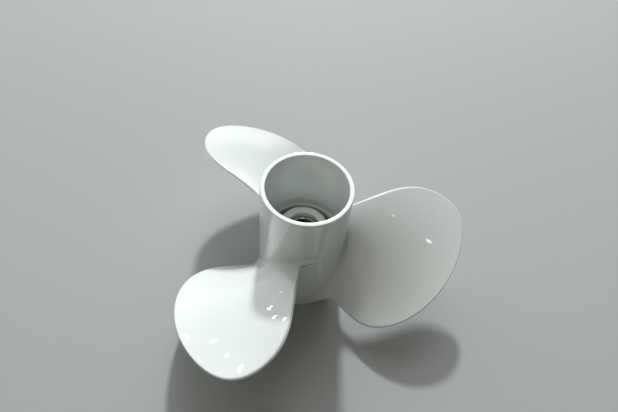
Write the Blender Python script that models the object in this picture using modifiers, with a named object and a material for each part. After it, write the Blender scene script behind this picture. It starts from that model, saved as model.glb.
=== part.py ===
"""Outboard-motor propeller with through-hub exhaust: cast barrel, blades, hub and ribs, bush and sleeve.

Metres. The shaft axis is +Z and points aft. The barrel's forward face lies on z = 0.
"""
import math

import bmesh
import bpy
from mathutils import Vector

MM = 0.001
GAP = 0.3 * MM                      # clearance between neighbouring nodes

# Overall size, which everything else follows
PROPELLER_RADIUS = 117.5 * MM
BARREL_LENGTH = 104.5 * MM
BARREL_AFT_RADIUS = 30.45 * MM
BARREL_FORWARD_RADIUS = 31.9 * MM
BLADE_COUNT = 3
BLADE_PHASE = math.radians(-9.6)    # angle of the first blade's root centre

# Barrel wall
AFT_WALL = 3.25 * MM
LEDGE_BELOW_HUB = 8.8 * MM          # the bore steps in a little below the hub's aft face
LEDGE_STEP = 2.4 * MM
SOCKET_DEPTH = 8.0 * MM             # wider mouth at the forward end
SOCKET_STEP = 1.0 * MM
RIM_ROUND = 0.6 * MM

# Inner hub
HUB_BELOW_RIM = 43.7 * MM
HUB_OUTER_RADIUS = 17.9 * MM
HUB_WALL = 2.9 * MM
HUB_FORWARD_RECESS = 10.0 * MM
LIP_HOLE_RADIUS = 11.6 * MM
LIP_THICKNESS = 4.6 * MM
LIP_ROUND = 2.2 * MM                # the lip's outer edge

# Ribs between the hub and the barrel
RIB_COUNT = 3
RIB_THICKNESS = 5.0 * MM
RIB_BELOW_LEDGE = 8.0 * MM
RIB_PHASE = math.radians(30.0)

# Bush and sleeve
BUSH_END_RECESS = 2.5 * MM
SLEEVE_WALL = 2.3 * MM
SLEEVE_PROUD = 2.0 * MM             # how far the sleeve stands out of the bush at the forward end
SLEEVE_INTO_LIP = 1.0 * MM          # how far it enters the lip's hole at the aft end
SLEEVE_LIP_CLEARANCE = 0.6 * MM
SPLINE_COUNT = 8
SPLINE_HEIGHT = 1.1 * MM
SPLINE_FLANK = 0.1                  # share of a spline's spacing that each sloping flank takes

# Blade section curves. Each tuple is a polynomial in the span fraction, 0 at the root and 1 at the tip.
HALF_WIDTH = (23.0 * MM, 43.2 * MM, 39.3 * MM, 47.4 * MM, -89.9 * MM)
SKEW = (0.0, 9.2 * MM, -45.2 * MM, 76.9 * MM, -1.0 * MM)
RAKE = (0.0, 18.4 * MM, -40.7 * MM, 24.9 * MM)
PITCH = (240.0 * MM, 96.0 * MM, -100.0 * MM)
CAMBER = (-20.4 * MM, 14.9 * MM)    # metres per radian squared from the blade's centre line
ROOT_CENTRE_HEIGHT = 45.4 * MM
ROOT_THICKNESS = 7.5 * MM
TIP_THICKNESS = 2.2 * MM
EDGE_THICKNESS = 1.7 * MM
LEADING_FILLET = 10.0 * MM          # fillet on the blade's faces, at its leading end
TRAILING_FILLET = 2.2 * MM          # the same at its trailing end
TRAILING_SWEEP = 11.0 * MM          # fillet in line with the blade, past its trailing end
TRAILING_SWEEP_RISE = 3.3 * MM      # how far out from the barrel that sweep starts
FILLET_FOOT = 0.8 * MM              # thickness left at the fillet's thin outer edge
FLOOR_CLEARANCE = 1.2 * MM          # the root fillet stays this far above the forward face

SEAT_FADE = 6                       # how fast the barrel's taper fades out along the blade

# Facets
ROUND_STEPS = 96
HUB_STEPS = 64
CHORD_STEPS = 20
SPAN_STEPS = 20
FILLET_RINGS = (0.0, 0.05, 0.13, 0.25, 0.42, 0.66, 1.0)
TIP_END_ANGLE = math.radians(88.0)
ROOT_CAP_ROWS = 5
LIP_ARC_STEPS = 3

# Heights and radii that follow from the values above
HUB_AFT_Z = BARREL_LENGTH - HUB_BELOW_RIM
LEDGE_Z = HUB_AFT_Z - LEDGE_BELOW_HUB
AFT_BORE_RADIUS = BARREL_AFT_RADIUS - AFT_WALL
MAIN_BORE_RADIUS = AFT_BORE_RADIUS - LEDGE_STEP
HUB_BORE_RADIUS = HUB_OUTER_RADIUS - HUB_WALL
HUB_SEAT_Z = HUB_AFT_Z - LIP_THICKNESS
RIB_TOP_Z = LEDGE_Z - RIB_BELOW_LEDGE
SLEEVE_OUTER_RADIUS = LIP_HOLE_RADIUS - SLEEVE_LIP_CLEARANCE
SLEEVE_BORE_RADIUS = SLEEVE_OUTER_RADIUS - SLEEVE_WALL
BUSH_OUTER_RADIUS = HUB_BORE_RADIUS - GAP
BUSH_BORE_RADIUS = SLEEVE_OUTER_RADIUS + GAP
BUSH_TOP_Z = HUB_SEAT_Z - GAP
BUSH_BOTTOM_Z = HUB_FORWARD_RECESS + BUSH_END_RECESS
SLEEVE_TOP_Z = HUB_SEAT_Z + SLEEVE_INTO_LIP
SLEEVE_BOTTOM_Z = BUSH_BOTTOM_Z - SLEEVE_PROUD
BLADE_LENGTH = PROPELLER_RADIUS - BARREL_AFT_RADIUS

# Colours
WHITE_PAINT = (0.86, 0.87, 0.84, 1.0)
BLACK_RUBBER = (0.03, 0.03, 0.03, 1.0)
DULL_STEEL = (0.52, 0.52, 0.50, 1.0)

COLLECTION_NAME = "outboard_propeller"
CUTTER_COLLECTION_NAME = "cutters"
MERGE_DISTANCE = 0.00001
SHARP_ANGLE = math.radians(35.0)


def clear_scene():
    """Remove whatever the file opened with."""
    for thing in list(bpy.data.objects):
        bpy.data.objects.remove(thing, do_unlink=True)


def make_collection(name):
    """A new collection linked to the scene."""
    collection = bpy.data.collections.new(name)
    bpy.context.scene.collection.children.link(collection)
    return collection


def make_material(name, colour, metallic, roughness):
    """A plain Principled material."""
    material = bpy.data.materials.new(name)
    material.use_nodes = True
    shader = material.node_tree.nodes["Principled BSDF"]
    shader.inputs["Base Color"].default_value = colour
    shader.inputs["Metallic"].default_value = metallic
    shader.inputs["Roughness"].default_value = roughness
    material.diffuse_color = colour
    return material


def add_object(name, data, collection, material):
    """A named object in its collection, with its material."""
    thing = bpy.data.objects.new(name, data)
    collection.objects.link(thing)
    if material and not data.materials:
        data.materials.append(material)
    return thing


def mesh_from(name, points, edges, faces):
    """A mesh from its points, edges and faces."""
    mesh = bpy.data.meshes.new(name)
    mesh.from_pydata(points, edges, faces)
    mesh.update()
    return mesh


def face_outwards(mesh):
    """Turn every face's normal to the outside and shade the mesh smooth between sharp edges."""
    work = bmesh.new()
    work.from_mesh(mesh)
    bmesh.ops.recalc_face_normals(work, faces=work.faces)
    work.to_mesh(mesh)
    work.free()
    mesh.shade_smooth()
    mesh.set_sharp_from_angle(angle=SHARP_ANGLE)


def turned(name, profile, steps, collection, material):
    """Turn a closed profile of (radius, height) points about Z with the Screw modifier."""
    points = [(radius, 0.0, height) for radius, height in profile]
    edges = [(i, (i + 1) % len(points)) for i in range(len(points))]
    thing = add_object(name, mesh_from(name, points, edges, []), collection, material)
    screw = thing.modifiers.new("Turn", "SCREW")
    screw.axis = "Z"
    screw.angle = math.tau
    screw.steps = steps
    screw.render_steps = steps
    screw.use_merge_vertices = True
    screw.merge_threshold = MERGE_DISTANCE
    screw.use_smooth_shade = True
    return thing


def polynomial(coefficients, x):
    """Value of a polynomial whose first coefficient is the constant."""
    return sum(c * x ** power for power, c in enumerate(coefficients))


def barrel_radius(height):
    """Outer radius of the barrel at a height, wider towards the forward end."""
    aft_share = height / BARREL_LENGTH
    return BARREL_FORWARD_RADIUS + (BARREL_AFT_RADIUS - BARREL_FORWARD_RADIUS) * aft_share


def make_barrel(collection, material):
    """The outer tube: a flat aft rim, a ledge in the bore and a wider forward mouth."""
    socket_radius = MAIN_BORE_RADIUS + SOCKET_STEP
    profile = [
        (BARREL_AFT_RADIUS - RIM_ROUND, BARREL_LENGTH),
        (barrel_radius(BARREL_LENGTH - RIM_ROUND), BARREL_LENGTH - RIM_ROUND),
        (barrel_radius(RIM_ROUND), RIM_ROUND),
        (BARREL_FORWARD_RADIUS - RIM_ROUND, 0.0),
        (socket_radius + RIM_ROUND, 0.0),
        (socket_radius, RIM_ROUND),
        (socket_radius, SOCKET_DEPTH),
        (MAIN_BORE_RADIUS, SOCKET_DEPTH + SOCKET_STEP),
        (MAIN_BORE_RADIUS, LEDGE_Z),
        (AFT_BORE_RADIUS, LEDGE_Z),
        (AFT_BORE_RADIUS, BARREL_LENGTH - RIM_ROUND),
        (AFT_BORE_RADIUS + RIM_ROUND, BARREL_LENGTH),
    ]
    return turned("barrel", profile, ROUND_STEPS, collection, material)


def make_inner_hub(collection, material):
    """The tube inside the barrel, with a lip at its aft end that stops the bush."""
    profile = []
    for step in range(LIP_ARC_STEPS + 1):
        turn = math.pi / 2 * (1 - step / LIP_ARC_STEPS)
        across = HUB_OUTER_RADIUS - LIP_ROUND + LIP_ROUND * math.cos(turn)
        profile.append((across, HUB_AFT_Z - LIP_ROUND + LIP_ROUND * math.sin(turn)))
    profile += [
        (HUB_OUTER_RADIUS, HUB_FORWARD_RECESS + RIM_ROUND),
        (HUB_OUTER_RADIUS - RIM_ROUND, HUB_FORWARD_RECESS),
        (HUB_BORE_RADIUS, HUB_FORWARD_RECESS),
        (HUB_BORE_RADIUS, HUB_SEAT_Z),
        (LIP_HOLE_RADIUS, HUB_SEAT_Z),
        (LIP_HOLE_RADIUS, HUB_AFT_Z - RIM_ROUND),
        (LIP_HOLE_RADIUS + RIM_ROUND, HUB_AFT_Z),
    ]
    return turned("inner_hub", profile, HUB_STEPS, collection, material)


def make_rib_space(collection):
    """Cutter: the ring of space that the ribs fill between the hub and the barrel."""
    inner = HUB_OUTER_RADIUS + GAP
    outer = MAIN_BORE_RADIUS - GAP
    bottom = SOCKET_DEPTH + SOCKET_STEP + GAP
    profile = [(outer, RIB_TOP_Z), (outer, bottom), (inner, bottom), (inner, RIB_TOP_Z)]
    space = turned("rib_space", profile, ROUND_STEPS, collection, None)
    space.hide_render = True
    space.display_type = "WIRE"
    return space


def make_rib(index, space, collection, material):
    """One web between the hub and the barrel: a plate trimmed to the ring of space."""
    inner = HUB_BORE_RADIUS
    outer = BARREL_AFT_RADIUS
    plate = bmesh.new()
    bmesh.ops.create_cube(plate, size=1.0)
    bmesh.ops.scale(plate, vec=(outer - inner, RIB_THICKNESS, LEDGE_Z), verts=plate.verts)
    bmesh.ops.translate(plate, vec=((inner + outer) / 2, 0.0, LEDGE_Z / 2), verts=plate.verts)
    name = f"rib_{index + 1}"
    mesh = bpy.data.meshes.new(name)
    plate.to_mesh(mesh)
    plate.free()
    rib = add_object(name, mesh, collection, material)
    rib.rotation_euler.z = RIB_PHASE + index * math.tau / RIB_COUNT
    trim = rib.modifiers.new("Trim", "BOOLEAN")
    trim.operation = "INTERSECT"
    trim.solver = "EXACT"
    trim.object = space
    return rib


def make_bush(collection, material):
    """The rubber bush between the hub and the sleeve."""
    profile = [
        (BUSH_OUTER_RADIUS, BUSH_TOP_Z),
        (BUSH_OUTER_RADIUS, BUSH_BOTTOM_Z),
        (BUSH_BORE_RADIUS, BUSH_BOTTOM_Z),
        (BUSH_BORE_RADIUS, BUSH_TOP_Z),
    ]
    return turned("rubber_bush", profile, HUB_STEPS, collection, material)


def closed_spline(curve, corners):
    """Add one closed straight-sided outline to a flat curve."""
    spline = curve.splines.new("POLY")
    spline.points.add(len(corners) - 1)
    for point, (x, y) in zip(spline.points, corners):
        point.co = (x, y, 0.0, 1.0)
    spline.use_cyclic_u = True


def make_sleeve(collection, material):
    """The metal sleeve with straight splines in its bore: a flat outline with a hole, extruded."""
    tip_radius = SLEEVE_BORE_RADIUS - SPLINE_HEIGHT
    corners = ((0.0, SLEEVE_BORE_RADIUS), (0.5 - SPLINE_FLANK, SLEEVE_BORE_RADIUS),
               (0.5, tip_radius), (1.0 - SPLINE_FLANK, tip_radius))
    toothed = []
    for spline in range(SPLINE_COUNT):
        for share, radius in corners:
            angle = (spline + share) * math.tau / SPLINE_COUNT
            toothed.append((radius * math.cos(angle), radius * math.sin(angle)))
    round_side = []
    for step in range(HUB_STEPS):
        angle = step * math.tau / HUB_STEPS
        round_side.append((SLEEVE_OUTER_RADIUS * math.cos(angle), SLEEVE_OUTER_RADIUS * math.sin(angle)))
    outline = bpy.data.curves.new("splined_sleeve", "CURVE")
    outline.dimensions = "2D"
    outline.fill_mode = "BOTH"
    outline.extrude = (SLEEVE_TOP_Z - SLEEVE_BOTTOM_Z) / 2
    closed_spline(outline, round_side)
    closed_spline(outline, toothed)
    sleeve = add_object("splined_sleeve", outline, collection, material)
    sleeve.location.z = (SLEEVE_TOP_Z + SLEEVE_BOTTOM_Z) / 2
    return sleeve


def fillet_flare(distance, spread, rise):
    """Sideways spread of an elliptical root fillet at a distance from the barrel."""
    share = (distance + FILLET_FOOT) / rise
    if share >= 1:
        return 0.0
    return spread * (1 - math.sqrt(1 - (1 - share) ** 2))


def soft_floor(height):
    """Keep a height above the forward face, easing in rather than cutting off."""
    over = height - FLOOR_CLEARANCE
    return FLOOR_CLEARANCE + (over + math.sqrt(over ** 2 + FLOOR_CLEARANCE ** 2)) / 2


def chord_point(span, side, sweep):
    """A point of the aft face, unrolled, and the direction of the section, swept out at its trailing end."""
    radius = BARREL_AFT_RADIUS + BLADE_LENGTH * span
    half = polynomial(HALF_WIDTH, span) * math.sqrt(1 - span ** 2) - EDGE_THICKNESS / 2
    helix = polynomial(PITCH, span) / math.tau
    camber = polynomial(CAMBER, span)
    arc = polynomial(SKEW, span) + half * side + sweep * max(side, 0.0)
    turn = arc / radius
    height = ROOT_CENTRE_HEIGHT + helix * turn + polynomial(RAKE, span) + camber * turn ** 2
    along = Vector((1.0, (helix + 2 * camber * turn) / radius)).normalized()
    return Vector((arc, height)), along


def blade_ring(span):
    """One section of the blade, unrolled: its aft and forward faces and its two rounded ends."""
    distance = BLADE_LENGTH * span
    middle = ROOT_THICKNESS + (TIP_THICKNESS - ROOT_THICKNESS) * math.sqrt(span)
    leading_push = fillet_flare(distance, LEADING_FILLET, LEADING_FILLET)
    sweep = fillet_flare(distance, TRAILING_SWEEP, TRAILING_SWEEP_RISE)
    aft, forward, noses = [], [], []
    for step in range(CHORD_STEPS + 1):
        side = -math.cos(math.pi * step / CHORD_STEPS)
        point, along = chord_point(span, side, sweep)
        across = Vector((-along.y, along.x))
        face_fillet = TRAILING_FILLET + (LEADING_FILLET - TRAILING_FILLET) * ((1 - side) / 2) ** 2
        flare = fillet_flare(distance, face_fillet, face_fillet)
        thick = EDGE_THICKNESS + (middle - EDGE_THICKNESS) * (1 - side ** 2)
        point += along * min(side, 0.0) * leading_push
        aft.append(point + across * flare)
        forward.append(point - across * (thick + flare))
        if step in (0, CHORD_STEPS):
            noses.append((aft[-1] + forward[-1]) / 2 + along * side * (EDGE_THICKNESS + flare) / 2)
    return aft, forward, noses


def place(span, point):
    """Roll an unrolled section point back round the shaft, off the tapered barrel by the gap."""
    radius = BARREL_AFT_RADIUS + BLADE_LENGTH * span
    height = soft_floor(point.y)
    seat = (barrel_radius(height) + GAP - BARREL_AFT_RADIUS) * (1 - span) ** SEAT_FADE
    angle = point.x / radius
    return ((radius + seat) * math.cos(angle), (radius + seat) * math.sin(angle), height)


def blade_spans():
    """Span fractions of the blade's rings: close together in the fillet and at the round tip."""
    spans = [share * LEADING_FILLET / BLADE_LENGTH for share in FILLET_RINGS]
    start = math.asin(spans[-1])
    for step in range(1, SPAN_STEPS + 1):
        spans.append(math.sin(start + (TIP_END_ANGLE - start) * step / SPAN_STEPS))
    return spans


def close_end(points, faces, span, start, rows):
    """Close the ring of points that begins at start with a grid of faces between its two sides."""
    aft, forward, _ = blade_ring(span)
    columns = len(aft)
    trailing_nose = start + columns
    leading_nose = start + 2 * columns + 1
    grid = [list(range(start, start + columns))]
    for row in range(1, rows):
        grid.append(list(range(len(points), len(points) + columns)))
        points.extend(place(span, top.lerp(low, row / rows)) for top, low in zip(aft, forward))
    grid.append([leading_nose - 1 - column for column in range(columns)])
    for upper, lower in zip(grid, grid[1:]):
        for i in range(columns - 1):
            faces.append((upper[i], upper[i + 1], lower[i + 1], lower[i]))
        faces.append((upper[0], lower[0], leading_nose))
        faces.append((upper[-1], lower[-1], trailing_nose))


def blade_mesh():
    """The blade, lofted through its sections from the barrel to the tip."""
    points, faces = [], []
    spans = blade_spans()
    for span in spans:
        aft, forward, (leading_nose, trailing_nose) = blade_ring(span)
        loop = aft + [trailing_nose] + forward[::-1] + [leading_nose]
        points.extend(place(span, point) for point in loop)
    size = len(points) // len(spans)
    for start in range(0, len(points) - size, size):
        for i in range(size):
            j = (i + 1) % size
            faces.append((start + i, start + j, start + size + j, start + size + i))
    tip_start = len(points) - size
    close_end(points, faces, spans[0], 0, ROOT_CAP_ROWS)
    close_end(points, faces, spans[-1], tip_start, 1)
    mesh = mesh_from("blade", points, [], faces)
    face_outwards(mesh)
    return mesh


def make_blades(collection, material):
    """The blades share one mesh and differ only in their angle round the shaft."""
    mesh = blade_mesh()
    for index in range(BLADE_COUNT):
        blade = add_object(f"blade_{index + 1}", mesh, collection, material)
        blade.rotation_euler.z = BLADE_PHASE + index * math.tau / BLADE_COUNT


def build():
    """Make every piece of the propeller."""
    clear_scene()
    pieces = make_collection(COLLECTION_NAME)
    cutters = make_collection(CUTTER_COLLECTION_NAME)
    make_barrel(pieces, make_material("barrel_paint", WHITE_PAINT, 0.0, 0.2))
    make_blades(pieces, make_material("blade_paint", WHITE_PAINT, 0.0, 0.2))
    make_inner_hub(pieces, make_material("inner_hub_paint", WHITE_PAINT, 0.0, 0.25))
    rib_paint = make_material("rib_paint", WHITE_PAINT, 0.0, 0.3)
    space = make_rib_space(cutters)
    for index in range(RIB_COUNT):
        make_rib(index, space, pieces, rib_paint)
    make_bush(pieces, make_material("bush_rubber", BLACK_RUBBER, 0.0, 0.7))
    make_sleeve(pieces, make_material("sleeve_metal", DULL_STEEL, 1.0, 0.35))


build()
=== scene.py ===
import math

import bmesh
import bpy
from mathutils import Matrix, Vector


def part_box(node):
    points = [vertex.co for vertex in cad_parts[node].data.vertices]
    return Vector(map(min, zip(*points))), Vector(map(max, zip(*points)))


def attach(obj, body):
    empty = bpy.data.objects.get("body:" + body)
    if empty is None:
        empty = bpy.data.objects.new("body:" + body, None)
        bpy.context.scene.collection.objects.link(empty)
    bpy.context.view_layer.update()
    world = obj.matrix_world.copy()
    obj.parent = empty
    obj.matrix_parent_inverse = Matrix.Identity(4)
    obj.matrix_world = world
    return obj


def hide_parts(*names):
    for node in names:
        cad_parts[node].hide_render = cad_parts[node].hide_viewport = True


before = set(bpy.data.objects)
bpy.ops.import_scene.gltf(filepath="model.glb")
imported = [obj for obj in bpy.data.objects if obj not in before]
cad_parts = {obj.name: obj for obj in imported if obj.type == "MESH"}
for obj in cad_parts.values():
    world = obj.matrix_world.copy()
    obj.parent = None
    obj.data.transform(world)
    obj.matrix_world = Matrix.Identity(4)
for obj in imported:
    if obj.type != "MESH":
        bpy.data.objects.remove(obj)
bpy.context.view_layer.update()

# %% [markdown]
# ## A painted outboard propeller
#
# The real object is one aluminium casting: a tapered barrel, three twisted blades, and a small hub held
# inside the barrel by ribs. It is painted glossy white. A rubber bush and a splined steel sleeve are
# pressed into the hub. The frame holds each of these as a plain solid of the right size. This lesson
# models the same forms with smooth fillets and gives each surface its finish.

MM = 0.001
barrel_low, barrel_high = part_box("barrel")
hub_low, hub_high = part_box("inner_hub")
bush_low, bush_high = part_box("rubber_bush")
sleeve_low, sleeve_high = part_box("splined_sleeve")
tip_radius = max(math.hypot(v.co.x, v.co.y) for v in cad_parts["blade_1"].data.vertices)

BARREL_LENGTH = barrel_high[2]
HUB_RADIUS = hub_high[0]
print(f"barrel {BARREL_LENGTH / MM:.1f} mm long, hub {HUB_RADIUS * 2 / MM:.1f} mm across")
print(f"blade tips {tip_radius / MM:.1f} mm from the shaft axis")

# %% [markdown]
# ## Corners with their own rounding
#
# The barrel, hub, bush and sleeve are all round. On a lathe each would be one profile swept about the
# axis, so each starts here as a list of corners, every corner with its own rounding. Blender could round
# them with a Bevel modifier, but then one width would serve every corner. Working out the arcs first
# keeps a crisp machined edge beside a soft cast one.

# %% Corners to arcs
ARC_STEPS = 6


def rounded(corners):
    """Replace each (radius, height, rounding) corner of a closed profile by an arc of points."""
    points = []
    count = len(corners)
    for i, (x, z, rounding) in enumerate(corners):
        here = Vector((x, z))
        if not rounding:
            points.append(here)
            continue
        before = (Vector(corners[i - 1][:2]) - here).normalized()
        after = (Vector(corners[(i + 1) % count][:2]) - here).normalized()
        half_angle = before.angle(after) / 2
        centre = here + (before + after).normalized() * rounding / math.sin(half_angle)
        start = here + before * rounding / math.tan(half_angle) - centre
        end = here + after * rounding / math.tan(half_angle) - centre
        for step in range(ARC_STEPS + 1):
            points.append(centre + start.slerp(end, step / ARC_STEPS).normalized() * rounding)
    return points


square = rounded([(2 * MM, 2 * MM, MM), (0.0, 2 * MM, 0.0), (0.0, 0.0, 0.0), (2 * MM, 0.0, 0.0)])
print("a square with one rounded corner has", len(square), "points")

# %% [markdown]
# ## Turning a profile
#
# Sweeping the finished profile once round the shaft gives the piece. The Screw modifier would do this
# too. Here the bmesh spin operator does it at once, because the result is joined to other meshes later.
# It merges its last step with its first, so the piece is closed.

# %% A profile to a turned mesh
ROUND_STEPS = 256


def turned(name, corners):
    """A closed profile swept once round the Z axis."""
    sweep = bmesh.new()
    ring = [sweep.verts.new((point.x, 0.0, point.y)) for point in rounded(corners)]
    edges = [sweep.edges.new((ring[i - 1], ring[i])) for i in range(len(ring))]
    bmesh.ops.spin(sweep, geom=ring + edges, cent=(0, 0, 0), axis=(0, 0, 1), angle=math.tau,
                   steps=ROUND_STEPS, use_merge=True)
    bmesh.ops.recalc_face_normals(sweep, faces=sweep.faces)
    mesh = bpy.data.meshes.new(name)
    sweep.to_mesh(mesh)
    sweep.free()
    return mesh


print("each turned piece has", ROUND_STEPS, "steps round the shaft")

# %% [markdown]
# ## The barrel
#
# The barrel is the casting's outer tube. The engine's exhaust leaves through it, so it is open at both
# ends. It narrows slightly towards the aft rim so that it could be drawn from its mould. The rim is flat
# and its two edges are barely rounded. Inside, the bore steps in at a ledge just below the hub's face. A
# scaled cylinder with a Solidify modifier would give the taper but not the stepped bore, so the barrel is
# turned from its profile.

# %% The barrel's profile, from the aft rim down the outer side and back up the bore
FORWARD_RADIUS = 31.9 * MM
AFT_RADIUS = 30.45 * MM
AFT_BORE = 27.2 * MM
MAIN_BORE = 24.8 * MM
MOUTH_BORE = 25.8 * MM
MOUTH_DEPTH = 8.0 * MM
MOUTH_STEP = 1.0 * MM
LEDGE_HEIGHT = 52.0 * MM
RIM_EDGE = 0.7 * MM
SOFT_EDGE = 0.9 * MM

barrel_mesh = turned("barrel_form", [
    (AFT_RADIUS, BARREL_LENGTH, RIM_EDGE),
    (FORWARD_RADIUS, 0.0, RIM_EDGE),
    (MOUTH_BORE, 0.0, RIM_EDGE),
    (MOUTH_BORE, MOUTH_DEPTH, SOFT_EDGE),
    (MAIN_BORE, MOUTH_DEPTH + MOUTH_STEP, SOFT_EDGE),
    (MAIN_BORE, LEDGE_HEIGHT, RIM_EDGE),
    (AFT_BORE, LEDGE_HEIGHT, SOFT_EDGE),
    (AFT_BORE, BARREL_LENGTH, RIM_EDGE),
])


def barrel_radius(height):
    """The barrel's outer radius at a height."""
    return FORWARD_RADIUS + (AFT_RADIUS - FORWARD_RADIUS) * height / BARREL_LENGTH


print("barrel:", len(barrel_mesh.polygons), "faces")

# %% [markdown]
# ## The blades
#
# A propeller blade is designed as sections on cylinders about the shaft, each section unrolled flat.
# A section is a slanted line: its slope is the pitch. Along the blade its width, its sideways place
# (skew), its height (rake) and its hollow (camber) all change, so each is a short polynomial in the span
# fraction, which is 0 at the barrel and 1 at the tip. A subdivided cage could look similar, but it would
# not keep the outline of the real blade.

# %% The blade's curves
HALF_WIDTH = (23.0 * MM, 43.2 * MM, 39.3 * MM, 47.4 * MM, -89.9 * MM)
SKEW = (0.0, 9.2 * MM, -45.2 * MM, 76.9 * MM, -1.0 * MM)
RAKE = (0.0, 18.4 * MM, -40.7 * MM, 24.9 * MM)
PITCH = (240.0 * MM, 96.0 * MM, -100.0 * MM)
CAMBER = (-20.4 * MM, 14.9 * MM)
BLADE_LENGTH = tip_radius - AFT_RADIUS


def polynomial(coefficients, x):
    """Value of a polynomial whose first coefficient is the constant."""
    return sum(c * x ** power for power, c in enumerate(coefficients))


print(f"blade length {BLADE_LENGTH / MM:.1f} mm from barrel to tip")
print(f"pitch {polynomial(PITCH, 0.5) / MM:.0f} mm at half span")

# %% [markdown]
# ## Edges that round over
#
# A casting's edges are ground by hand. The aft face of this blade rolls over into the outline in a curve
# about a millimetre deep, which catches the light as one thin line. A Bevel modifier could not tell this
# long smooth edge from the rest of the loft. So the roll is part of the blade's formula: the distance to
# the outline comes from how far a point is along the section and along the blade, and the face falls
# away as a quarter circle of that distance. Near the barrel the roll runs out into the fillet. The trim
# draws the rolled edge in by a hair, so that it stays inside the plain solid's outline.

# %% How far the face falls away near the outline
EDGE_THICKNESS = 1.7 * MM
EDGE_ROUNDING = 1.0 * MM
EDGE_TRIM = 0.18 * MM
EDGE_RUN_OUT = 10.0 * MM
LEAST_SPAN = 0.1        # keeps the slope below from vanishing in the middle of the root


def flare(distance, spread, rise):
    """Fall of a quarter ellipse: all of the spread at no distance, nothing from the rise outwards."""
    share = distance / rise
    if share >= 1:
        return 0.0
    return spread * (1 - math.sqrt(1 - (1 - share) ** 2))


def edge_share(span):
    """How much of the rolled edge is there: none at the barrel, all of it past the run-out."""
    return min(1.0, span * BLADE_LENGTH / EDGE_RUN_OUT)


def edge_drop(span, side):
    """How far the aft face falls away at a point, for the rolled edge."""
    across = side * math.sqrt(1 - span ** 2)
    steepness = 2 * math.hypot(across / polynomial(HALF_WIDTH, span), max(span, LEAST_SPAN) / BLADE_LENGTH)
    inside = max(0.0, 1 - across ** 2 - span ** 2) / steepness
    return flare(inside, EDGE_ROUNDING, EDGE_ROUNDING) * edge_share(span)


print(f"the edge falls {edge_drop(0.5, 1.0) / MM:.1f} mm, and the middle {edge_drop(0.5, 0.0) / MM:.1f} mm")

# %% [markdown]
# ## A point on the aft face
#
# Each point of the blade is given by its span and by its side, from -1 at the leading edge to 1 at the
# trailing edge. The curves above turn these into a place on the unrolled section, and into the direction
# that the section runs there, which the thickness and the fillets need. The blade could be drawn on a
# grid and bent with modifiers, but then no point would know which section it belongs to.

# %% The aft face, unrolled
ROOT_HEIGHT = 45.4 * MM


def chord_point(span, side, sweep):
    """A point of the aft face, unrolled, and the direction of the section, swept out at its trailing end."""
    radius = AFT_RADIUS + BLADE_LENGTH * span
    nose = EDGE_THICKNESS / 2 - (EDGE_ROUNDING / 2 - EDGE_TRIM) * edge_share(span)
    half = polynomial(HALF_WIDTH, span) * math.sqrt(1 - span ** 2) - nose
    helix = polynomial(PITCH, span) / math.tau
    camber = polynomial(CAMBER, span)
    arc = polynomial(SKEW, span) + half * side + sweep * max(side, 0.0)
    turn = arc / radius
    height = ROOT_HEIGHT + helix * turn + polynomial(RAKE, span) + camber * turn ** 2
    along = Vector((1.0, (helix + 2 * camber * turn) / radius)).normalized()
    return Vector((arc, height)), along


leading, trailing = chord_point(0.5, -1.0, 0.0)[0], chord_point(0.5, 1.0, 0.0)[0]
print(f"at half span the section is {(trailing - leading).length / MM:.1f} mm long")

# %% [markdown]
# ## Where a blade grows out of the barrel
#
# On a casting the root is never a sharp corner. It is a fillet, wide at the leading end of the blade and
# tight at the trailing end, where the blade also sweeps out a little along the barrel. A Bevel after a
# Boolean union would give one width all the way round. Here every column of the blade's mesh starts flat
# against the barrel and turns a quarter circle of its own size. The surface leaves the barrel without a
# crease, so the gloss paint shows no seam.

# %% One column of the blade, from the barrel through its fillet to the tip
ROOT_THICKNESS = 7.5 * MM
TIP_THICKNESS = 2.2 * MM
LEADING_FILLET = 10.0 * MM
TRAILING_FILLET = 2.2 * MM
TRAILING_SWEEP = 11.0 * MM
TRAILING_SWEEP_RISE = 3.3 * MM
FILLET_STEPS = 14
SPAN_STEPS = 64
TIP_END_ANGLE = math.radians(88.6)


def column_distances(fillet):
    """Distances from the barrel along a column: a quarter circle of steps, then out to the tip."""
    steps = [fillet * (1 - math.cos(math.pi / 2 * i / FILLET_STEPS)) for i in range(FILLET_STEPS)]
    start = math.asin(fillet / BLADE_LENGTH)
    for i in range(SPAN_STEPS + 1):
        steps.append(BLADE_LENGTH * math.sin(start + (TIP_END_ANGLE - start) * i / SPAN_STEPS))
    return steps


def blade_column(side):
    """Both faces of the blade along one column: lists of (span, aft point, forward point, along)."""
    fillet = TRAILING_FILLET + (LEADING_FILLET - TRAILING_FILLET) * ((1 - side) / 2) ** 2
    column = []
    for distance in column_distances(fillet):
        span = distance / BLADE_LENGTH
        point, along = chord_point(span, side, flare(distance, TRAILING_SWEEP, TRAILING_SWEEP_RISE))
        across = Vector((-along.y, along.x))
        middle = ROOT_THICKNESS + (TIP_THICKNESS - ROOT_THICKNESS) * math.sqrt(span)
        thick = EDGE_THICKNESS + (middle - EDGE_THICKNESS) * (1 - side ** 2)
        spread = flare(distance, fillet, fillet)
        point += along * min(side, 0.0) * flare(distance, LEADING_FILLET, LEADING_FILLET)
        aft = point + across * (spread - edge_drop(span, side))
        column.append((span, aft, point - across * (thick + spread), along))
    return column


print("each column has", len(blade_column(0.0)), "steps, the first", FILLET_STEPS, "in the fillet")

# %% [markdown]
# ## Rolling the sections back
#
# The unrolled points are wrapped round the shaft again, each at its own radius, and this twists the
# blade. A Simple Deform modifier could twist a flat blade too, but only at one even rate. The barrel
# tapers and the sections do not, so the root is moved in or out to sit on it. Nothing may reach below the
# face that the propeller stands on, so low points are lifted softly.

# %% From the unrolled section to the blade
FLOOR_CLEARANCE = 1.2 * MM
SEAT_FADE = 6


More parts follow.
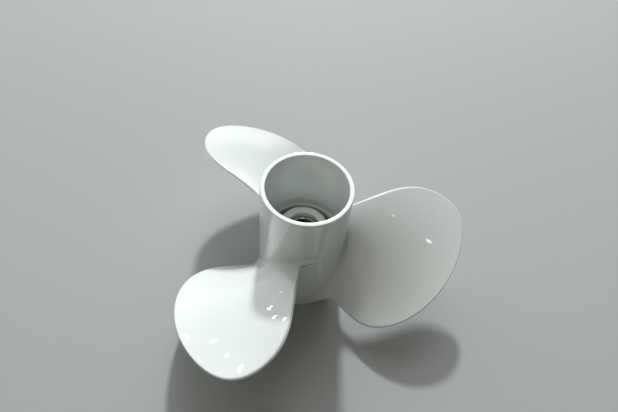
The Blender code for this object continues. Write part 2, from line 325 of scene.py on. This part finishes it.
def rolled(span, point):
    """Roll an unrolled point back round the shaft, seated on the tapered barrel at its root."""
    over = point.y - FLOOR_CLEARANCE
    height = FLOOR_CLEARANCE + (over + math.sqrt(over ** 2 + FLOOR_CLEARANCE ** 2)) / 2
    radius = AFT_RADIUS + BLADE_LENGTH * span
    seat = (barrel_radius(height) - AFT_RADIUS) * (1 - span) ** SEAT_FADE
    angle = point.x / radius
    return Vector(((radius + seat) * math.cos(angle), (radius + seat) * math.sin(angle), height))


print(f"the tip's middle is {rolled(1.0, chord_point(1.0, 0.0, 0.0)[0]).z / MM:.1f} mm above the floor")

# %% [markdown]
# ## The blade as one loft
#
# The columns are joined round the blade: along the aft face, round the thin trailing edge, back along the
# forward face and round the leading edge. What the roll leaves of each edge gets a small half round. Even
# steps along the section would leave the edges coarse, so the steps bunch up towards both of them, where
# the surface bends most.

# %% Closed loops round the blade
CHORD_STEPS = 60
NOSE_STEPS = 8


def blade_loops():
    """Closed loops of points, one for each step from the barrel to the tip."""
    sides = [-math.cos(math.pi * step / CHORD_STEPS) for step in range(CHORD_STEPS + 1)]
    columns = [blade_column(side) for side in sides]
    loops = []
    for level in range(len(columns[0])):
        aft = [rolled(column[level][0], column[level][1]) for column in columns]
        forward = [rolled(column[level][0], column[level][2]) for column in columns]
        noses = []
        for column, direction in ((columns[-1], 1), (columns[0], -1)):
            span, top, low, along = column[level]
            reach = along * direction * (top - low).length / 2
            nose = []
            for step in range(1, NOSE_STEPS):
                swing = math.pi * step / NOSE_STEPS
                middle = (top + low) / 2 + (top - low) / 2 * math.cos(swing)
                nose.append(rolled(span, middle + reach * math.sin(swing)))
            noses.append(nose)
        loops.append(aft + noses[0] + forward[::-1] + noses[1][::-1])
    return loops


loops = blade_loops()
print("blade:", len(loops), "loops of", len(loops[0]), "points")

# %% [markdown]
# ## A skin over the loops
#
# Neighbouring loops are joined by a band of four-sided faces, and the last loop, at the tip, gets a flat
# end. Blender's Bridge Edge Loops would join them too, but here the order of the points is known, and
# the next step needs it.

# %% Points and faces of a loft
def skinned(loops):
    """Points and faces of a skin over equal closed loops, with a flat end on the last."""
    points = [point for loop in loops for point in loop]
    size = len(loops[0])
    faces = [tuple(range(len(points) - size, len(points)))]
    for start in range(0, len(points) - size, size):
        for i in range(size):
            j = (i + 1) % size
            faces.append((start + i, start + j, start + size + j, start + size + i))
    return points, faces


def mesh_of(name, points, faces):
    """A mesh from its points and faces."""
    mesh = bpy.data.meshes.new(name)
    mesh.from_pydata(points, [], faces)
    mesh.update()
    return mesh


points, faces = skinned(loops)
print("blade skin:", len(points), "points and", len(faces), "faces")

# %% [markdown]
# ## Closing the root
#
# The first loop lies on the barrel and wraps a quarter of the way round it. A flat end there would cut
# straight through the open bore. So the root is closed by rows of points between the aft and the forward
# side, each moved to just under the barrel's skin. The rows end on the points of the two half rounds, and
# where a row has only one point to end on, the face there is a triangle.

# %% Rows of points under the barrel's skin
CAP_DEPTH = 0.3 * MM


def under_skin(point):
    """The point moved to just under the barrel's outer skin, at its own height."""
    flat = point.xy.normalized() * (barrel_radius(point.z) - CAP_DEPTH)
    return Vector((flat.x, flat.y, point.z))


def close_root(points, faces):
    """Close the first loop with rows of faces from its aft side to its forward side."""
    columns = CHORD_STEPS + 1
    rounds = NOSE_STEPS - 1
    aft = list(range(columns))
    trailing = list(range(columns, columns + rounds))
    forward = list(range(columns + rounds, 2 * columns + rounds))[::-1]
    leading = list(range(2 * columns + rounds, 2 * columns + 2 * rounds))[::-1]
    rows = [[aft[0], *aft, aft[-1]]]
    for step in range(1, NOSE_STEPS):
        start = len(points)
        between = [points[a].lerp(points[f], step / NOSE_STEPS) for a, f in zip(aft, forward)]
        points.extend(under_skin(point) for point in between)
        rows.append([leading[step - 1], *range(start, start + columns), trailing[step - 1]])
    rows.append([forward[0], *forward, forward[-1]])
    for upper, lower in zip(rows, rows[1:]):
        for i in range(columns + 1):
            corners = (upper[i], upper[i + 1], lower[i + 1], lower[i])
            faces.append(tuple(dict.fromkeys(corners)))


close_root(points, faces)
blade_form = mesh_of("blade_form", points, faces)
print("blade:", len(blade_form.polygons), "faces")

# %% [markdown]
# ## The hub
#
# The hub is a short tube inside the barrel. Its aft end turns in to a lip that stops the bush, and the
# lip's outer edge is softly rounded. A tube with a disc on its end would do for the form, but only a
# turned profile like the barrel's gives each of its corners a rounding of its own.

# %% The hub's profile, from the lip down the outer side and back up the bore
HUB_BORE = 15.0 * MM
LIP_HOLE = 11.6 * MM
LIP_THICKNESS = 4.6 * MM
LIP_EDGE = 2.2 * MM

hub_mesh = turned("hub_form", [
    (HUB_RADIUS, hub_high[2], LIP_EDGE),
    (HUB_RADIUS, hub_low[2], SOFT_EDGE),
    (HUB_BORE, hub_low[2], RIM_EDGE),
    (HUB_BORE, hub_high[2] - LIP_THICKNESS, 0.0),
    (LIP_HOLE, hub_high[2] - LIP_THICKNESS, 0.0),
    (LIP_HOLE, hub_high[2], RIM_EDGE),
])
print("hub:", len(hub_mesh.polygons), "faces")

# %% [markdown]
# ## The ribs
#
# Three ribs tie the hub to the barrel. They are cast with the rest, so they widen in small fillets where
# they meet the hub and the bore, and their top and bottom edges are rounded. A plain box would lack both.
# A rib is a loft like the blade: the same outline at several heights, drawn in where an edge rounds over.

# %% A rib's outline, and its loft
RIB_BOTTOM = 9.3 * MM
RIB_TOP = 44.0 * MM
RIB_HALF_THICKNESS = 2.5 * MM
RIB_FILLET = 2.0 * MM
RIB_EDGE = 1.0 * MM
RIB_SEAT = 0.03 * MM
RIB_STEPS = 24
EDGE_ANGLES = [math.radians(angle) for angle in (90, 60, 30, 0)]


def rib_loop(height, inset):
    """The rib's outline at a height, drawn in by inset where its top and bottom edges round over."""
    start, end = HUB_RADIUS - RIB_SEAT, MAIN_BORE + RIB_SEAT
    one_side = []
    for step in range(RIB_STEPS + 1):
        along = start + (end - start) * (1 - math.cos(math.pi * step / RIB_STEPS)) / 2
        near = min(along - start, end - along)
        half = RIB_HALF_THICKNESS - inset + flare(near, RIB_FILLET, RIB_FILLET)
        one_side.append((along, half))
    outline = one_side + [(along, -half) for along, half in reversed(one_side)]
    return [Vector((math.sqrt(along ** 2 - half ** 2), half, height)) for along, half in outline]


insets = [(RIB_EDGE * (1 - math.sin(angle)), RIB_EDGE * (1 - math.cos(angle))) for angle in EDGE_ANGLES]
rib_loops = [rib_loop(RIB_BOTTOM + rise, inset) for rise, inset in insets]
rib_loops += [rib_loop(RIB_TOP - rise, inset) for rise, inset in reversed(insets)]
points, faces = skinned(rib_loops)
faces.append(tuple(range(len(rib_loops[0]))))
rib_form = mesh_of("rib_form", points, faces)
print("rib:", len(rib_form.polygons), "faces")

# %% [markdown]
# ## One casting
#
# The forms above are one piece of metal, so they become one object. They meet or overlap by a hair, and
# the fillets hide the joints. A Boolean union would also work, but it would cut the even columns of the
# blades into slivers and spoil the gloss. The finished casting takes the place of its solids in the frame.

# %% Join the forms and let the casting stand for its solids
BLADE_PHASE = math.radians(-9.6)
RIB_PHASE = math.radians(30.0)
SHARP_ANGLE = math.radians(40.0)


def add_copies(work, mesh, phase, count):
    """Add copies of a mesh round the shaft to the bmesh being built."""
    for index in range(count):
        turn = Matrix.Rotation(phase + index * math.tau / count, 4, "Z")
        known = len(work.verts)
        work.from_mesh(mesh)
        bmesh.ops.transform(work, matrix=turn, verts=list(work.verts)[known:])


def show_object(name, mesh):
    """Link a mesh as an object that rides on the propeller, smooth between its sharp edges."""
    thing = bpy.data.objects.new(name, mesh)
    bpy.context.scene.collection.objects.link(thing)
    mesh.shade_smooth()
    mesh.set_sharp_from_angle(angle=SHARP_ANGLE)
    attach(thing, "root")
    return thing


work = bmesh.new()
add_copies(work, barrel_mesh, 0.0, 1)
add_copies(work, hub_mesh, 0.0, 1)
add_copies(work, blade_form, BLADE_PHASE, 3)
add_copies(work, rib_form, RIB_PHASE, 3)
bmesh.ops.recalc_face_normals(work, faces=work.faces)
casting_mesh = bpy.data.meshes.new("painted_casting")
work.to_mesh(casting_mesh)
work.free()
casting = show_object("painted_casting", casting_mesh)
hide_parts("barrel", "blade_1", "blade_2", "blade_3", "inner_hub", "rib_1", "rib_2", "rib_3")
print("casting:", len(casting_mesh.vertices), "vertices")

# %% [markdown]
# ## One shading across the blade roots
#
# The fillets meet the barrel flat, but they are separate faces, so each side would be shaded with its own
# normals and a faint seam would show in the gloss. Every corner that lies on the barrel's outer skin is
# therefore given the barrel's own normal. A Data Transfer modifier could do this from a plain barrel, but
# the barrel is a simple cone and its normal is one line of arithmetic.

# %% Give the corners on the barrel's skin its normal
SKIN_TOLERANCE = 0.001 * MM


def match_root_normals(mesh):
    """Give every corner that lies on the barrel's outer skin the barrel's own normal."""
    taper = (FORWARD_RADIUS - AFT_RADIUS) / BARREL_LENGTH
    normals = [Vector(corner.vector) for corner in mesh.corner_normals]
    matched = 0
    for loop in mesh.loops:
        x, y, z = mesh.vertices[loop.vertex_index].co
        radius = math.hypot(x, y)
        if abs(radius - barrel_radius(z)) < SKIN_TOLERANCE:
            normals[loop.index] = Vector((x / radius, y / radius, taper)).normalized()
            matched += 1
    mesh.normals_split_custom_set(normals)
    return matched


print("corners matched to the barrel:", match_root_normals(casting_mesh))

# %% [markdown]
# ## The rubber bush
#
# The rubber bush slips inside the hub if a blade hits something, which saves the gears. Seen from the
# forward end it is a black ring with a moulded groove. The groove could be cut with a Boolean, but as four
# corners of one more turned profile it is rounded like the rest.

# %% The bush as a turned ring with a groove
BUSH_RADIUS = bush_high[0]
SLEEVE_RADIUS = sleeve_high[0]
SLEEVE_GAP = 0.05 * MM
GROOVE_DEPTH = 1.4 * MM
GROOVE_EDGE = 0.4 * MM
groove_middle = (BUSH_RADIUS + SLEEVE_RADIUS) / 2
groove_half = (BUSH_RADIUS - SLEEVE_RADIUS) / 5
bush_mesh = turned("rubber_ring", [
    (BUSH_RADIUS, bush_high[2], RIM_EDGE),
    (BUSH_RADIUS, bush_low[2], RIM_EDGE),
    (groove_middle + groove_half, bush_low[2], GROOVE_EDGE),
    (groove_middle + groove_half, bush_low[2] + GROOVE_DEPTH, GROOVE_EDGE),
    (groove_middle - groove_half, bush_low[2] + GROOVE_DEPTH, GROOVE_EDGE),
    (groove_middle - groove_half, bush_low[2], GROOVE_EDGE),
    (SLEEVE_RADIUS + SLEEVE_GAP, bush_low[2], GROOVE_EDGE),
    (SLEEVE_RADIUS + SLEEVE_GAP, bush_high[2], GROOVE_EDGE),
])
bush = show_object("rubber_ring", bush_mesh)
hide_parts("rubber_bush")
print("bush:", len(bush_mesh.polygons), "faces")

# %% [markdown]
# ## The splined sleeve
#
# The sleeve inside the bush is machined steel with straight splines, which the propeller shaft turns. A
# spline tooth is cut, so its corners are crisp and only its ends are chamfered. It could be a tube with a
# toothed cutter taken out of it by a Boolean. Here it is a loft of eight rings that run down the plain
# outside and back up the toothed bore, which keeps every face where it is wanted.

# %% The sleeve, lofted between its round outside and its toothed bore
SPLINE_COUNT = 8
SPLINE_ROOT = 8.7 * MM
SPLINE_TIP = 7.6 * MM
CHAMFER = 0.5 * MM
POINTS_PER_SPLINE = 10
CRISP_ANGLE = math.radians(25.0)


def outside_ring(height, radius):
    """Points round the sleeve's plain outside, as many as round its bore."""
    count = SPLINE_COUNT * POINTS_PER_SPLINE
    angles = [math.tau * i / count for i in range(count)]
    return [Vector((radius * math.cos(angle), radius * math.sin(angle), height)) for angle in angles]


def bore_ring(height, grow):
    """Points round the toothed bore: half of each spline's points on its groove, half on its tooth."""
    ring = outside_ring(height, 1.0)
    for i, point in enumerate(ring):
        on_tooth = i % POINTS_PER_SPLINE >= POINTS_PER_SPLINE // 2
        point.xy *= (SPLINE_TIP if on_tooth else SPLINE_ROOT) + grow
    return ring


low, high = sleeve_low[2], sleeve_high[2]
sleeve_loops = [
    outside_ring(high, SLEEVE_RADIUS - CHAMFER), outside_ring(high - CHAMFER, SLEEVE_RADIUS),
    outside_ring(low + CHAMFER, SLEEVE_RADIUS), outside_ring(low, SLEEVE_RADIUS - CHAMFER),
    bore_ring(low, CHAMFER), bore_ring(low + CHAMFER, 0.0),
    bore_ring(high - CHAMFER, 0.0), bore_ring(high, CHAMFER),
]
points, faces = skinned(sleeve_loops + sleeve_loops[:1])
size = len(sleeve_loops[0])
points = points[:-size]
faces = [tuple(i % len(points) for i in face[::-1]) for face in faces[1:]]
sleeve_mesh = mesh_of("steel_sleeve", points, faces)
sleeve = show_object("steel_sleeve", sleeve_mesh)
sleeve_mesh.set_sharp_from_angle(angle=CRISP_ANGLE)
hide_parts("splined_sleeve")
print("sleeve:", SPLINE_COUNT, "splines,", len(faces), "faces")

# %% [markdown]
# ## Tools for shader nodes
#
# A material made by script is a list of nodes and the links between them. Writing each node out takes
# several lines, so a few helpers add one in a single call. They place noise by Object coordinates, which
# stay with the propeller whichever way the camera looks and need no unwrapping.

# %% Helpers that add and join shader nodes
def new_material(name):
    """A material, its node tree and its Principled shader."""
    material = bpy.data.materials.new(name)
    material.use_nodes = True
    tree = material.node_tree
    return material, tree, tree.nodes["Principled BSDF"]


def add_node(tree, kind, **values):
    """Add a shader node and set its properties or the inputs of those names."""
    node = tree.nodes.new(kind)
    for key, value in values.items():
        if key in node.inputs.keys():
            node.inputs[key].default_value = value
        else:
            setattr(node, key, value)
    return node


def add_noise(tree, place, scale, detail):
    """Noise on the object's own coordinates."""
    noise = add_node(tree, "ShaderNodeTexNoise", Scale=scale, Detail=detail)
    tree.links.new(place.outputs["Object"], noise.inputs["Vector"])
    return noise.outputs["Fac"]


def add_range(tree, source, low, high, to_low, to_high):
    """Map one range of a value onto another."""
    mapped = add_node(tree, "ShaderNodeMapRange")
    tree.links.new(source, mapped.inputs["Value"])
    mapped.inputs["From Min"].default_value = low
    mapped.inputs["From Max"].default_value = high
    mapped.inputs["To Min"].default_value = to_low
    mapped.inputs["To Max"].default_value = to_high
    return mapped.outputs["Result"]


print("noise, range and material helpers are ready")

# %% [markdown]
# ## Tools for bumps, mixes and distances
#
# A bump node leans the shading normal without moving the surface, which suits unevenness less than half
# a millimetre deep. Bumps stack by passing one's normal to the next. The distance from the shaft axis
# tells a shader whether a point is in a bore, since every bore here is round.

# %% Helpers for bumps, mixed colours and the distance from the axis
def add_bump(tree, height, distance, under=None):
    """A bump of a height in metres, on top of another bump if one is given."""
    bump = add_node(tree, "ShaderNodeBump", Strength=1.0, Distance=distance)
    tree.links.new(height, bump.inputs["Height"])
    if under:
        tree.links.new(under, bump.inputs["Normal"])
    return bump.outputs["Normal"]


def add_mix(tree, share, first, second):
    """A colour between two others, each a colour or another node's output."""
    mix = add_node(tree, "ShaderNodeMix", data_type="RGBA")
    tree.links.new(share, mix.inputs["Factor"])
    for socket, value in (("A", first), ("B", second)):
        if isinstance(value, tuple):
            mix.inputs[socket].default_value = (*value, 1.0)
        else:
            tree.links.new(value, mix.inputs[socket])
    return mix.outputs["Result"]


def add_maths(tree, operation, first, second):
    """A sum, product or greater value of two others."""
    maths = add_node(tree, "ShaderNodeMath", operation=operation)
    tree.links.new(first, maths.inputs[0])
    tree.links.new(second, maths.inputs[1])
    return maths.outputs["Value"]


def distance_from_axis(tree, place):
    """How far a surface point lies from the shaft axis."""
    flat = add_node(tree, "ShaderNodeVectorMath", operation="MULTIPLY")
    flat.inputs[1].default_value = (1.0, 1.0, 0.0)
    tree.links.new(place.outputs["Object"], flat.inputs[0])
    length = add_node(tree, "ShaderNodeVectorMath", operation="LENGTH")
    tree.links.new(flat.outputs["Vector"], length.inputs[0])
    return length.outputs["Value"]


print("bump, mix and distance helpers are ready")

# %% [markdown]
# ## Gloss white paint: its skin
#
# The paint is sprayed on and baked, with a hard clear gloss. The shader's coat gives that gloss, and
# three bumps give its skin: the casting under it is not quite flat, grinding left soft ripples about a
# centimetre long, and the paint has a faint orange peel. They make long reflections wander and break
# small ones into sparkles. Modelling them in the mesh would take far more points for the same look.

# %% The paint's coat and the unevenness under it
COAT_ROUGHNESS = 0.04
WAVES_PER_METRE, WAVE_HEIGHT = 22.0, 0.35 * MM
RIPPLES_PER_METRE, RIPPLE_HEIGHT = 90.0, 0.05 * MM
PEEL_PER_METRE, PEEL_HEIGHT = 700.0, 0.006 * MM

paint, tree, shader = new_material("white_gloss_paint")
place = tree.nodes.new("ShaderNodeTexCoord")
shader.inputs["Coat Weight"].default_value = 1.0
shader.inputs["Coat Roughness"].default_value = COAT_ROUGHNESS
waves = add_bump(tree, add_noise(tree, place, WAVES_PER_METRE, detail=1.0), WAVE_HEIGHT)
ripples = add_bump(tree, add_noise(tree, place, RIPPLES_PER_METRE, detail=1.0), RIPPLE_HEIGHT, under=waves)
skin = add_bump(tree, add_noise(tree, place, PEEL_PER_METRE, detail=1.0), PEEL_HEIGHT, under=ripples)
tree.links.new(skin, shader.inputs["Normal"])
tree.links.new(skin, shader.inputs["Coat Normal"])
print(f"waves {1000 / WAVES_PER_METRE:.0f} mm long, ripples {1000 / RIPPLES_PER_METRE:.0f} mm long")

# %% [markdown]
# ## Gloss white paint: its colour
#
# White paint is never quite one white: the coat is thicker in places, so its tone and gloss drift a
# little. Deep inside the barrel and in the lip's hole the colour falls to a dull grey. This is painted
# shade for those recesses, where little light reaches. A painted mask could say where, but the shape says
# it already. Deep in the bore a point lies nearer to the axis than the wall at the rim does, and below the
# ledge. In the hole it lies nearer to the axis than the lip. Each border fades over less than half a
# millimetre, and the ledge's over a few.

# %% Where painted shade darkens the recesses, and the colour from that
PAINT_WHITE = (0.80, 0.835, 0.82)
PAINT_SHADE = (0.76, 0.795, 0.775)
# painted shade: the grey that stands for the little light deep in the bore and in the lip's hole
RECESS_SHADE_GREY = (0.455, 0.465, 0.42)
TONES_PER_METRE = 14.0
TONE_SPREAD = (0.35, 0.65)
GLOSS_SPREAD = (0.3, 0.7)
PAINT_ROUGHNESS = (0.16, 0.26)
BORE_BORDER = (AFT_BORE + 0.2 * MM, AFT_BORE + 0.6 * MM)
LEDGE_BORDER = (LEDGE_HEIGHT - 4.0 * MM, LEDGE_HEIGHT - 0.5 * MM)
HOLE_BORDER = (LIP_HOLE + 0.1 * MM, LIP_HOLE + 0.5 * MM)

split = tree.nodes.new("ShaderNodeSeparateXYZ")
tree.links.new(place.outputs["Object"], split.inputs["Vector"])
from_axis = distance_from_axis(tree, place)
in_bore = add_range(tree, from_axis, *BORE_BORDER, 1.0, 0.0)
below_ledge = add_range(tree, split.outputs["Z"], *LEDGE_BORDER, 1.0, 0.0)
in_hole = add_range(tree, from_axis, *HOLE_BORDER, 1.0, 0.0)
# the share of painted shade: deep in the bore below the ledge, and in the lip's hole
recess_shade = add_maths(tree, "MAXIMUM", add_maths(tree, "MULTIPLY", in_bore, below_ledge), in_hole)
tone = add_noise(tree, place, TONES_PER_METRE, detail=3.0)
white = add_mix(tree, add_range(tree, tone, *TONE_SPREAD, 0.0, 1.0), PAINT_WHITE, PAINT_SHADE)
tree.links.new(add_mix(tree, recess_shade, white, RECESS_SHADE_GREY), shader.inputs["Base Color"])
tree.links.new(add_range(tree, tone, *GLOSS_SPREAD, *PAINT_ROUGHNESS), shader.inputs["Roughness"])
casting_mesh.materials.append(paint)
print("paint on", casting.name)

# %% [markdown]
# ## Moulded rubber
#
# The bush is black rubber from a mould. It is dull, with a fine grain that breaks up what little it
# reflects. The grain could be two noises, one for its bump and one for its roughness. One serves both
# here, so that the high spots of the grain are also the dullest.

# %% The rubber
RUBBER_BLACK = (0.028, 0.028, 0.03, 1.0)
RUBBER_ROUGHNESS = (0.6, 0.8)
GRAINS_PER_METRE, GRAIN_HEIGHT = 900.0, 0.03 * MM

rubber, tree, shader = new_material("moulded_rubber")
place = tree.nodes.new("ShaderNodeTexCoord")
grain = add_noise(tree, place, GRAINS_PER_METRE, detail=3.0)
shader.inputs["Base Color"].default_value = RUBBER_BLACK
tree.links.new(add_range(tree, grain, *GLOSS_SPREAD, *RUBBER_ROUGHNESS), shader.inputs["Roughness"])
tree.links.new(add_bump(tree, grain, GRAIN_HEIGHT), shader.inputs["Normal"])
bush_mesh.materials.append(rubber)
print("rubber on", bush.name)

# %% [markdown]
# ## Dull steel
#
# The sleeve is machined steel that has dulled. It is a true metal, so its colour tints its reflections,
# and a noise mixes it with a darker stain and changes its polish with it. Inside the narrow bore the
# steel's colour falls to near black. This is painted shade for the little light that reaches down between
# the splines.

# %% The steel, with painted shade in its bore
CLEAN_STEEL = (0.58, 0.58, 0.55)
STAINED_STEEL = (0.40, 0.40, 0.37)
# painted shade: near black for the deep, narrow bore
BORE_SHADE_BLACK = (0.05, 0.05, 0.045)
STEEL_ROUGHNESS = (0.3, 0.5)
MARKS_PER_METRE = 160.0
MARKS_SPREAD = (0.35, 0.7)
BORE_SHADE_BORDER = (SPLINE_ROOT + 0.1 * MM, SPLINE_ROOT + 0.4 * MM)

steel, tree, shader = new_material("dull_steel")
place = tree.nodes.new("ShaderNodeTexCoord")
marks = add_noise(tree, place, MARKS_PER_METRE, detail=4.0)
shader.inputs["Metallic"].default_value = 1.0
metal = add_mix(tree, add_range(tree, marks, *MARKS_SPREAD, 0.0, 1.0), CLEAN_STEEL, STAINED_STEEL)
from_axis = distance_from_axis(tree, place)
# the share of painted shade, by the distance from the axis: full inside the splined bore
bore_shade = add_range(tree, from_axis, *BORE_SHADE_BORDER, 1.0, 0.0)
tree.links.new(add_mix(tree, bore_shade, metal, BORE_SHADE_BLACK), shader.inputs["Base Color"])
tree.links.new(add_range(tree, marks, *GLOSS_SPREAD, *STEEL_ROUGHNESS), shader.inputs["Roughness"])
sleeve_mesh.materials.append(steel)
print("steel on", sleeve.name)

# %% [markdown]
# ## Camera
#
# The propeller in the picture leans towards the viewer, and here it stands upright. What matters is the
# angle between the shaft and the line of sight, which is kept: the camera looks down into the open barrel
# at about 53 degrees, rolled a little, from 0.4 metres away. A Track To constraint could aim it but not
# roll it, so three turns are multiplied instead. The lens is worked out from the picture's width, so that
# the view spreads as in the picture.

# %% A camera with the picture's field of view
CAMERA_PLACE = Vector((0.0, -196.0 * MM, 345.8 * MM))
PITCH_DOWN = math.radians(53.1)
YAW_RIGHT = math.radians(0.67)
ROLL = math.radians(6.88)
FOCAL_PIXELS = 488.6
PICTURE_WIDTH_PIXELS = 618.0
SENSOR_WIDTH_MM = 36.0
NEAREST_SEEN = 10.0 * MM

lens = bpy.data.cameras.new("view")
lens.sensor_width = SENSOR_WIDTH_MM
lens.lens = SENSOR_WIDTH_MM * FOCAL_PIXELS / PICTURE_WIDTH_PIXELS
lens.clip_start = NEAREST_SEEN
camera = bpy.data.objects.new("view", lens)
bpy.context.scene.collection.objects.link(camera)
aim = Matrix.Rotation(-YAW_RIGHT, 4, "Z") @ Matrix.Rotation(math.pi / 2 - PITCH_DOWN, 4, "X")
camera.matrix_world = Matrix.Translation(CAMERA_PLACE) @ aim @ Matrix.Rotation(ROLL, 4, "Z")
bpy.context.scene.camera = camera
print(f"lens {lens.lens:.1f} mm")

# %% [markdown]
# ## The key light
#
# In the picture the light comes from above, which for the upright propeller is from behind and above. One
# panel there throws the barrel's shadow on the front blade. It is small and far away, so the shadow's
# edge is nearly crisp near the barrel and softer on the floor. A lamp of no size would leave a hard edge
# everywhere, and a wide panel hardly any shadow.

# %% One panel behind and above
KEY_PLACE = Vector((-0.11, 1.67, 1.43))
KEY_AIM = Vector((0.0, 0.0, 0.05))
KEY_SIZE = 0.14
KEY_WATTS = 33.0
KEY_TINT = (0.97, 1.0, 1.03)

light = bpy.data.lights.new("key_panel", "AREA")
light.size = KEY_SIZE
light.energy = KEY_WATTS
light.color = KEY_TINT
panel = bpy.data.objects.new("key_panel", light)
panel.location = KEY_PLACE
panel.rotation_euler = (KEY_AIM - KEY_PLACE).to_track_quat("-Z", "Y").to_euler()
bpy.context.scene.collection.objects.link(panel)
bpy.context.scene.view_settings.view_transform = "Standard"
print(f"key light {(KEY_AIM - KEY_PLACE).length:.1f} m away")

# %% [markdown]
# ## Sparkles
#
# Small bare lamps show best that paint is glossy: each leaves a sparkle where a blade mirrors it, and a
# twisted blade can mirror one lamp twice. Sparkles could be painted on the blades, but those would stay
# put when the view moves. So there are real lamps, too weak to light the paint, each two metres out along
# the way that a chosen spot on a blade mirrors the view.

# %% Small lamps for the gloss
LAMP_RADIUS = 12 * MM
LAMPS = (
    ((-1.19, 1.29, 0.97), 0.30),
    ((-1.28, 1.08, 1.10), 0.35),
    ((-1.22, 0.92, 1.28), 0.35),
    ((-1.15, 0.86, 1.42), 0.40),
    ((0.72, -0.30, 1.84), 0.15),
)

for number, (lamp_place, power) in enumerate(LAMPS, start=1):
    light = bpy.data.lights.new(f"lamp_{number}", "POINT")
    light.shadow_soft_size = LAMP_RADIUS
    light.energy = power
    lamp = bpy.data.objects.new(f"lamp_{number}", light)
    lamp.location = lamp_place
    bpy.context.scene.collection.objects.link(lamp)
print("lamps:", len(LAMPS))

# %% [markdown]
# ## What the gloss reflects
#
# A panel's reflection ends at a hard edge, and on a polished blade that edge reads as a mark in the paint.
# So the rest of the light is painted on the surround as round glows that fade out smoothly. A broad one
# behind on the left and two smaller, brighter ones high behind whiten the two left blades and the rim. A
# weak, warm one in front fills the shaded side. An environment picture would do the same, but its parts
# could not be moved one by one.

# %% Soft glows in the surround
SURROUND_GREY = (0.02, 0.02, 0.02)
GLOWS = (
    # towards, cosine at its faded edge and at its full core, colour
    ((-0.60, 0.70, 0.38), 0.70, 0.97, (1.07, 1.14, 1.17)),
    ((0.20, 0.80, 0.56), 0.94, 0.985, (1.8, 1.85, 1.85)),
    ((-0.02, 0.56, 0.83), 0.93, 0.995, (2.5, 2.6, 2.6)),
    ((-0.40, -0.50, 0.77), 0.55, 0.97, (0.395, 0.385, 0.32)),
)

surround = bpy.data.worlds.new("studio")
surround.use_nodes = True
tree = surround.node_tree
direction = tree.nodes.new("ShaderNodeTexCoord")


def add_glow(towards, edge, core, colour, under):
    """A round glow on top of another, full inside the core cosine and gone outside the edge cosine."""
    along = add_node(tree, "ShaderNodeVectorMath", operation="DOT_PRODUCT")
    along.inputs[1].default_value = Vector(towards).normalized()
    tree.links.new(direction.outputs["Generated"], along.inputs[0])
    fade = add_node(tree, "ShaderNodeMapRange", interpolation_type="SMOOTHSTEP")
    fade.inputs["From Min"].default_value = edge
    fade.inputs["From Max"].default_value = core
    tree.links.new(along.outputs["Value"], fade.inputs["Value"])
    glow = add_node(tree, "ShaderNodeVectorMath", operation="SCALE")
    glow.inputs[0].default_value = colour
    tree.links.new(fade.outputs["Result"], glow.inputs["Scale"])
    both = add_node(tree, "ShaderNodeVectorMath", operation="ADD")
    tree.links.new(under, both.inputs[0])
    tree.links.new(glow.outputs["Vector"], both.inputs[1])
    return both.outputs["Vector"]


dim = add_node(tree, "ShaderNodeCombineXYZ", X=SURROUND_GREY[0], Y=SURROUND_GREY[1], Z=SURROUND_GREY[2])
light_sum = dim.outputs["Vector"]
for towards, edge, core, colour in GLOWS:
    light_sum = add_glow(towards, edge, core, colour, light_sum)
tree.links.new(light_sum, tree.nodes["Background"].inputs["Color"])
bpy.context.scene.world = surround
print("glows in the surround:", len(GLOWS))

# %% [markdown]
# ## The floor
#
# The propeller stands on its forward face on a plain pale floor. A floor that curved up into a backdrop
# would hide the horizon, but it would also throw light back at the shaded side. So it is one large flat
# face, dull enough to mirror nothing, and grey enough for white paint to stand out against it.

# %% A wide pale floor
FLOOR_REACH = 4.0
FLOOR_GREY = (0.43, 0.44, 0.44, 1.0)
FLOOR_ROUGHNESS = 0.7
FLOOR_SHEEN = 0.2

corners = [(x * FLOOR_REACH, y * FLOOR_REACH, 0.0) for x, y in ((-1, -1), (1, -1), (1, 1), (-1, 1))]
floor_mesh = mesh_of("floor", corners, [(0, 1, 2, 3)])
floor = bpy.data.objects.new("floor", floor_mesh)
bpy.context.scene.collection.objects.link(floor)
pale, tree, shader = new_material("pale_floor")
shader.inputs["Base Color"].default_value = FLOOR_GREY
shader.inputs["Roughness"].default_value = FLOOR_ROUGHNESS
shader.inputs["Specular IOR Level"].default_value = FLOOR_SHEEN
floor_mesh.materials.append(pale)
print("floor", 2 * FLOOR_REACH, "metres wide")
